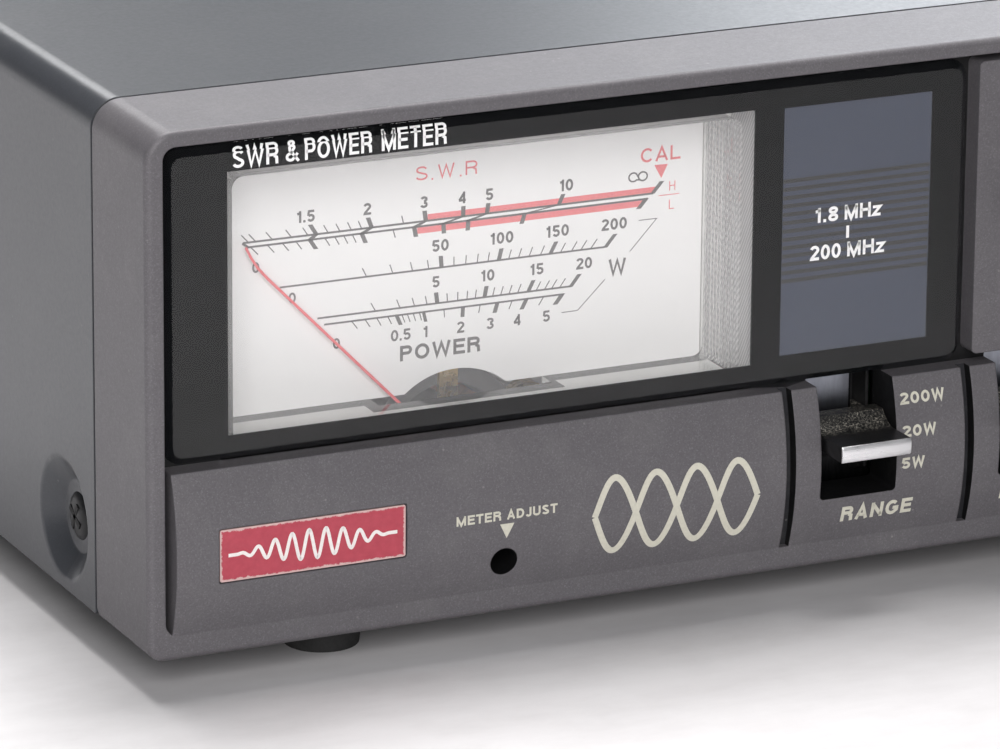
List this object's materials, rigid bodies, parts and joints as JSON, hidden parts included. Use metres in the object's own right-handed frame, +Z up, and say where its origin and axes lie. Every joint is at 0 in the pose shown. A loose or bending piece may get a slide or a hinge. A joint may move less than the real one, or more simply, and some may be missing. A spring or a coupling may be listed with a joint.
{
  "type": "swr meter",
  "caption": "Table-top SWR and power meter: steel case, moulded bezel, clear window, moving-coil needle meter, slide switches, calibration knob and rear coaxial sockets.",
  "frame": {"origin": "under the middle of the whole object, on the surface the feet stand on", "axes": "+X to the right seen from the front, +Y from the front panel to the back, +Z up"},
  "size_m": [0.155, 0.13, 0.0675],
  "materials": {
    "bezel_paint": "fine metallic paint, satin",
    "case_paint": "fine metallic grey paint, satin",
    "black_steel": "black satin",
    "clear_acrylic": "clear, polished",
    "mask_black": "black print",
    "label_blue": "blue grey print",
    "badge_red": "red, worn",
    "meter_white": "moulded white",
    "meter_clear": "clear styrene",
    "dial_white": "printed off-white",
    "needle_red": "red lacquer",
    "copper": "lacquered copper wire",
    "steel": "bright",
    "magnet": "dark",
    "brass": "plain",
    "nickel": "nickel plated",
    "silver_tip": "hot-stamped silver",
    "black_plastic": "moulded black",
    "knob_cap_alu": "spun",
    "board_green": "coated board",
    "zinc_steel": "zinc plated",
    "screw_black": "black oxide",
    "rubber_black": "moulded",
    "insulator": "moulded resin",
    "ferrite": "sintered",
    "lamp_glass": "clear",
    "wire_sheath": "sheathed"
  },
  "bodies": {
    "case": {"front_bezel": "bezel_paint", "window_panel": "clear_acrylic", "window_mask": "mask_black", "frequency_label": "label_blue", "badge_plate": "badge_red", "top_cover": "case_paint", "chassis": "black_steel", "meter_cover": "meter_clear", "meter_housing": "meter_white", "dial_plate": "dial_white", "meter_terminals": "brass", "magnet_yoke": "magnet", "magnet_core": "magnet", "core_straps": "brass", "front_bridge": "brass", "rear_bridge": "brass", "jewel_screws": "brass", "slide_switches": "black_plastic", "switch_frames": "nickel", "cal_pot": "zinc_steel", "panel_nuts": "nickel", "monitor_switch": "black_plastic", "front_board": "board_green", "board_parts": "black_plastic", "lamp_bulb": "lamp_glass", "lamp_holder": "rubber_black", "coupler_box": "zinc_steel", "coupler_lid": "zinc_steel", "coupler_line": "brass", "toroid_core": "ferrite", "coupler_board": "board_green", "input_socket": "nickel", "antenna_socket": "nickel", "socket_insulators": "insulator", "socket_contacts": "brass", "socket_screws": "nickel", "socket_nuts": "nickel", "dc_jack": "black_plastic", "feet": "rubber_black", "foot_screws": "nickel", "cover_screws": "screw_black", "bezel_screws": "zinc_steel", "inner_wires": "wire_sheath"},
    "needle": {"needle": "needle_red", "moving_coil": "copper", "needle_staff": "steel", "hairspring": "brass"},
    "zero_screw": {"zero_screw": "black_plastic"},
    "zero_arm": {"zero_arm": "brass"},
    "range_lever": {"range_lever": "black_plastic", "range_lever_tip": "silver_tip"},
    "function_lever": {"function_lever": "black_plastic", "function_lever_tip": "silver_tip"},
    "power_lever": {"power_lever": "black_plastic", "power_lever_tip": "silver_tip"},
    "cal_knob": {"cal_knob": "black_plastic", "knob_cap": "knob_cap_alu", "pot_shaft": "steel"},
    "monitor_button": {"monitor_button": "black_plastic"}
  },
  "joints": [
    {"name": "needle_sweep", "type": "hinge", "parent": "case", "child": "needle", "pos_m": [-0.0331, -0.038, 0.0207], "axis": [0, 1, 0], "range_deg": [0, 87.4], "stiffness_Nm_per_rad": 0.00004, "springref_deg": -11.46},
    {"name": "zero_screw_turn", "type": "hinge", "parent": "case", "child": "zero_screw", "pos_m": [-0.0331, -0.041, 0.0112], "axis": [0, 1, 0], "range_deg": [-45, 45]},
    {"name": "zero_arm_swing", "type": "hinge", "parent": "case", "child": "zero_arm", "pos_m": [-0.0331, -0.0395, 0.0207], "axis": [0, 1, 0], "range_deg": [-5, 5]},
    {"name": "range_slide", "type": "slide", "parent": "case", "child": "range_lever", "axis": [0, 0, 1], "range_m": [-0.0042, 0.0042]},
    {"name": "function_slide", "type": "slide", "parent": "case", "child": "function_lever", "axis": [0, 0, 1], "range_m": [-0.0042, 0.0042]},
    {"name": "power_slide", "type": "slide", "parent": "case", "child": "power_lever", "axis": [0, 0, 1], "range_m": [-0.0042, 0.0042]},
    {"name": "cal_turn", "type": "hinge", "parent": "case", "child": "cal_knob", "pos_m": [0.0565, -0.057, 0.0465], "axis": [0, 1, 0], "range_deg": [-150, 150]},
    {"name": "monitor_press", "type": "slide", "parent": "case", "child": "monitor_button", "axis": [0, 1, 0], "range_m": [0, 0.0025], "stiffness_N_per_m": 600, "springref_m": -0.0005}
  ],
  "couplings": [
    {"joint": "zero_arm_swing", "follows": "zero_screw_turn", "ratio": -0.092}
  ]
}
